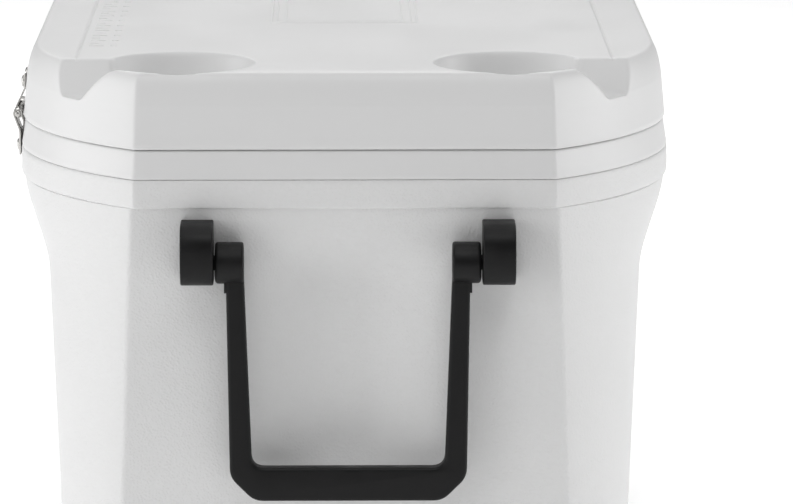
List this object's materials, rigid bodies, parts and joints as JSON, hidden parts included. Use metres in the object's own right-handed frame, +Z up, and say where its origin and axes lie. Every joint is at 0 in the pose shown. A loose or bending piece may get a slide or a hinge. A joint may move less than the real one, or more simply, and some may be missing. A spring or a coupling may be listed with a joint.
{
  "type": "wheeled cooler",
  "caption": "Large insulated chest cooler on wheels, with a hinged lid with cup holders, hanging bail handles at the ends, skids and a screw-capped drain.",
  "frame": {"origin": "on the ground, below the middle of the tub (centre of the bounding box, bottom)", "axes": "X along the tub, with the towing end and the drain at -X and the wheels at +X; Y across it, with the lid's hinges on the +Y side; +Z up"},
  "size_m": [0.95, 0.4515, 0.4703],
  "materials": {
    "shell_plastic": "moulded white plastic with a fine pebbled texture",
    "lid_plastic": "smooth satin white plastic",
    "liner_plastic": "smooth white plastic",
    "insulating_foam": "rigid foam, hidden inside the walls",
    "black_plastic": "satin black plastic",
    "stainless_steel": "bright stainless sheet and rod",
    "wheel_plastic": "moulded black plastic",
    "tyre_rubber": "dull black rubber"
  },
  "bodies": {
    "tub": {"axle": "stainless_steel", "axle_cap_back": "wheel_plastic", "axle_cap_front": "wheel_plastic", "axle_washer_back": "stainless_steel", "axle_washer_front": "stainless_steel", "bail_bracket_tow_back": "black_plastic", "bail_bracket_tow_front": "black_plastic", "bail_bracket_wheel_back": "black_plastic", "bail_bracket_wheel_front": "black_plastic", "drain_gasket": "tyre_rubber", "drain_nut": "black_plastic", "drain_spout": "black_plastic", "hinge_leaf_tub_1": "stainless_steel", "hinge_leaf_tub_2": "stainless_steel", "hinge_pin_1": "stainless_steel", "hinge_pin_2": "stainless_steel", "hinge_screw_tub_1a": "stainless_steel", "hinge_screw_tub_1b": "stainless_steel", "hinge_screw_tub_2a": "stainless_steel", "hinge_screw_tub_2b": "stainless_steel", "tub_foam": "insulating_foam", "tub_liner": "liner_plastic", "tub_shell": "shell_plastic"},
    "lid": {"hinge_leaf_lid_1": "stainless_steel", "hinge_leaf_lid_2": "stainless_steel", "hinge_screw_lid_1a": "stainless_steel", "hinge_screw_lid_1b": "stainless_steel", "hinge_screw_lid_2a": "stainless_steel", "hinge_screw_lid_2b": "stainless_steel", "lid_foam": "insulating_foam", "lid_liner": "liner_plastic", "lid_shell": "lid_plastic"},
    "bail_tow": {"bail_tow": "black_plastic"},
    "bail_wheel": {"bail_wheel": "black_plastic"},
    "wheel_front": {"wheel_front": "wheel_plastic", "tyre_front": "tyre_rubber"},
    "wheel_back": {"wheel_back": "wheel_plastic", "tyre_back": "tyre_rubber"},
    "drain_seal_carrier": {"drain_cap_seal": "tyre_rubber"},
    "drain_cap": {"drain_cap": "black_plastic"}
  },
  "joints": [
    {"name": "lid_hinge", "type": "hinge", "parent": "tub", "child": "lid", "pos_m": [0, 0.2252, 0.42], "axis": [-1, 0, 0], "range_deg": [0, 105]},
    {"name": "bail_tow_swing", "type": "hinge", "parent": "tub", "child": "bail_tow", "pos_m": [-0.45714, 0, 0.3475], "axis": [0, 1, 0], "range_deg": [-4, 175]},
    {"name": "bail_wheel_swing", "type": "hinge", "parent": "tub", "child": "bail_wheel", "pos_m": [0.45714, 0, 0.3475], "axis": [0, -1, 0], "range_deg": [-4, 175]},
    {"name": "wheel_front_spin", "type": "hinge", "parent": "tub", "child": "wheel_front", "pos_m": [0.362, -0.1534, 0.075], "axis": [0, 1, 0], "continuous": true},
    {"name": "wheel_back_spin", "type": "hinge", "parent": "tub", "child": "wheel_back", "pos_m": [0.362, 0.1534, 0.075], "axis": [0, 1, 0], "continuous": true},
    {"name": "drain_cap_travel", "type": "slide", "parent": "tub", "child": "drain_seal_carrier", "axis": [-1, 0, 0], "range_m": [0, 0.006]},
    {"name": "drain_cap_turn", "type": "hinge", "parent": "drain_seal_carrier", "child": "drain_cap", "pos_m": [-0.44, 0, 0.0617], "axis": [-1, 0, 0], "range_deg": [0, 720]}
  ],
  "couplings": [
    {"joint": "drain_cap_travel", "follows": "drain_cap_turn", "m_per_rad": 0.00047746}
  ]
}
